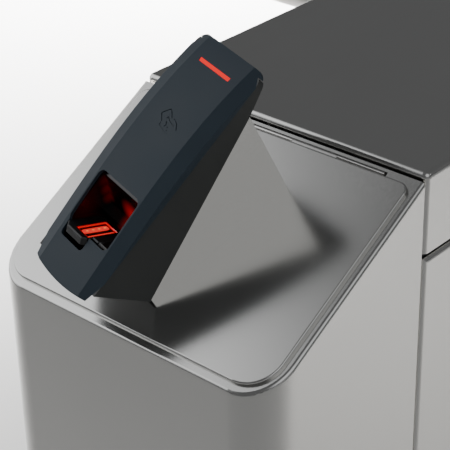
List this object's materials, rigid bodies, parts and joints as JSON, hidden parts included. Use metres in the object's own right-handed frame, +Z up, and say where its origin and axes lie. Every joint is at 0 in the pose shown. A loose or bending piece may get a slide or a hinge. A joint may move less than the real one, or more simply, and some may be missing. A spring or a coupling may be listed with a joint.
{
  "type": "tripod access gate",
  "caption": "Waist-high steel access gate with sloping end pylons, a yawed fingerprint and card reader on a wedge, and a three-armed turning barrier.",
  "frame": {"origin": "centre of the floor plate's underside, which is also the centre of the anchor pattern", "axes": "+Z up, +Y along the cabinet from the reader end to the far end, the lane on the -X side"},
  "size_m": [0.8176, 1.4661, 1.0905],
  "materials": {
    "stainless_shell": "satin brushed",
    "stainless_tube": "satin polished",
    "galvanised_frame": "galvanised",
    "mechanism_steel": "machined",
    "cast_aluminium": "cast, bead blasted",
    "zinc_lock": "plated",
    "black_plastic": "moulded, fine texture",
    "slate_plastic": "moulded, satin",
    "charcoal_plastic": "moulded, satin",
    "well_plastic": "moulded, smooth",
    "seal_rubber": "matt foam",
    "sensor_glass": "polished",
    "lit_red": "lit",
    "circuit_board": "solder mask",
    "copper_coil": "bare copper",
    "supply_case": "plain sheet"
  },
  "bodies": {
    "cabinet": {"base_plate": "stainless_shell", "frame_posts": "galvanised_frame", "frame_top_rails": "galvanised_frame", "frame_cross_bars": "galvanised_frame", "panel_screws": "mechanism_steel", "front_pylon_shell": "stainless_shell", "rear_pylon_shell": "stainless_shell", "lid_seals": "seal_rubber", "hinge_bases": "stainless_tube", "hinge_pins": "mechanism_steel", "lock_barrels": "zinc_lock", "right_side_panel": "stainless_shell", "left_side_panel": "stainless_shell", "mechanism_bracket": "mechanism_steel", "mechanism_housing": "cast_aluminium", "shaft_bearings": "mechanism_steel", "solenoids": "galvanised_frame", "control_tray": "supply_case", "control_board": "circuit_board", "power_supply": "supply_case"},
    "front_lid": {"front_lid_panel": "stainless_shell", "front_hinge_leaf": "stainless_tube", "front_lid_keeper": "mechanism_steel", "reader_bracket": "stainless_shell", "reader_screws": "mechanism_steel", "reader_base": "charcoal_plastic", "reader_cover": "slate_plastic", "finger_well": "well_plastic", "sensor_head": "black_plastic", "sensor_window": "sensor_glass", "sensor_light": "lit_red", "status_light": "lit_red", "reader_board": "circuit_board", "card_antenna": "copper_coil", "cable_grommet": "seal_rubber"},
    "rear_lid": {"rear_lid_panel": "stainless_shell", "rear_hinge_leaf": "stainless_tube", "rear_lid_keeper": "mechanism_steel"},
    "main_cover": {"top_cover": "stainless_shell", "cover_keepers": "mechanism_steel"},
    "tripod": {"tripod_shaft": "mechanism_steel", "tripod_hub": "cast_aluminium", "hub_cap": "black_plastic", "arm_screws": "mechanism_steel", "tripod_arm_1": "stainless_tube", "tripod_arm_2": "stainless_tube", "tripod_arm_3": "stainless_tube", "arm_tip_caps": "black_plastic", "index_disc": "mechanism_steel"},
    "front_lid_lock": {"front_lid_lock_cam": "zinc_lock"},
    "rear_lid_lock": {"rear_lid_lock_cam": "zinc_lock"},
    "front_cover_lock": {"front_cover_lock_cam": "zinc_lock"},
    "rear_cover_lock": {"rear_cover_lock_cam": "zinc_lock"},
    "rear_pawl": {"rear_side_pawl": "mechanism_steel"},
    "front_pawl": {"front_side_pawl": "mechanism_steel"},
    "rear_solenoid_plunger": {"rear_side_plunger": "mechanism_steel"},
    "front_solenoid_plunger": {"front_side_plunger": "mechanism_steel"}
  },
  "joints": [
    {"name": "tripod_turn", "type": "hinge", "parent": "cabinet", "child": "tripod", "pos_m": [-0.185, 0, 0.835], "axis": [-0.7071, 0, -0.7071], "continuous": true},
    {"name": "front_lid_open", "type": "hinge", "parent": "cabinet", "child": "front_lid", "pos_m": [0, -0.55901, 1.00274], "axis": [-1, 0, 0], "range_deg": [0, 50]},
    {"name": "rear_lid_open", "type": "hinge", "parent": "cabinet", "child": "rear_lid", "pos_m": [0, 0.55901, 1.00274], "axis": [1, 0, 0], "range_deg": [0, 50]},
    {"name": "main_cover_lift", "type": "slide", "parent": "cabinet", "child": "main_cover", "axis": [0, 0, 1], "range_m": [0, 0.066]},
    {"name": "front_lid_lock_turn", "type": "hinge", "parent": "cabinet", "child": "front_lid_lock", "pos_m": [-0.13, -0.66128, 0.91986], "axis": [-1, 0, 0], "range_deg": [0, 90]},
    {"name": "rear_lid_lock_turn", "type": "hinge", "parent": "cabinet", "child": "rear_lid_lock", "pos_m": [-0.13, 0.66128, 0.91986], "axis": [1, 0, 0], "range_deg": [0, 90]},
    {"name": "front_cover_lock_turn", "type": "hinge", "parent": "cabinet", "child": "front_cover_lock", "pos_m": [-0.13, -0.33, 0.905], "axis": [-1, 0, 0], "range_deg": [0, 90]},
    {"name": "rear_cover_lock_turn", "type": "hinge", "parent": "cabinet", "child": "rear_cover_lock", "pos_m": [-0.13, 0.33, 0.905], "axis": [-1, 0, 0], "range_deg": [0, 90]},
    {"name": "rear_pawl_swing", "type": "hinge", "parent": "cabinet", "child": "rear_pawl", "pos_m": [-0.05348, 0.053, 0.94955], "axis": [0.7071, 0, 0.7071], "range_deg": [0, 8], "stiffness_Nm_per_rad": 0.2},
    {"name": "front_pawl_swing", "type": "hinge", "parent": "cabinet", "child": "front_pawl", "pos_m": [-0.05348, -0.053, 0.94955], "axis": [-0.7071, 0, -0.7071], "range_deg": [0, 8], "stiffness_Nm_per_rad": 0.2},
    {"name": "rear_plunger_pull", "type": "slide", "parent": "cabinet", "child": "rear_solenoid_plunger", "axis": [0, 1, 0], "range_m": [0, 0.003]},
    {"name": "front_plunger_pull", "type": "slide", "parent": "cabinet", "child": "front_solenoid_plunger", "axis": [0, -1, 0], "range_m": [0, 0.003]}
  ],
  "couplings": [
    {"joint": "rear_plunger_pull", "follows": "rear_pawl_swing", "m_per_rad": 0.02},
    {"joint": "front_plunger_pull", "follows": "front_pawl_swing", "m_per_rad": 0.02}
  ]
}
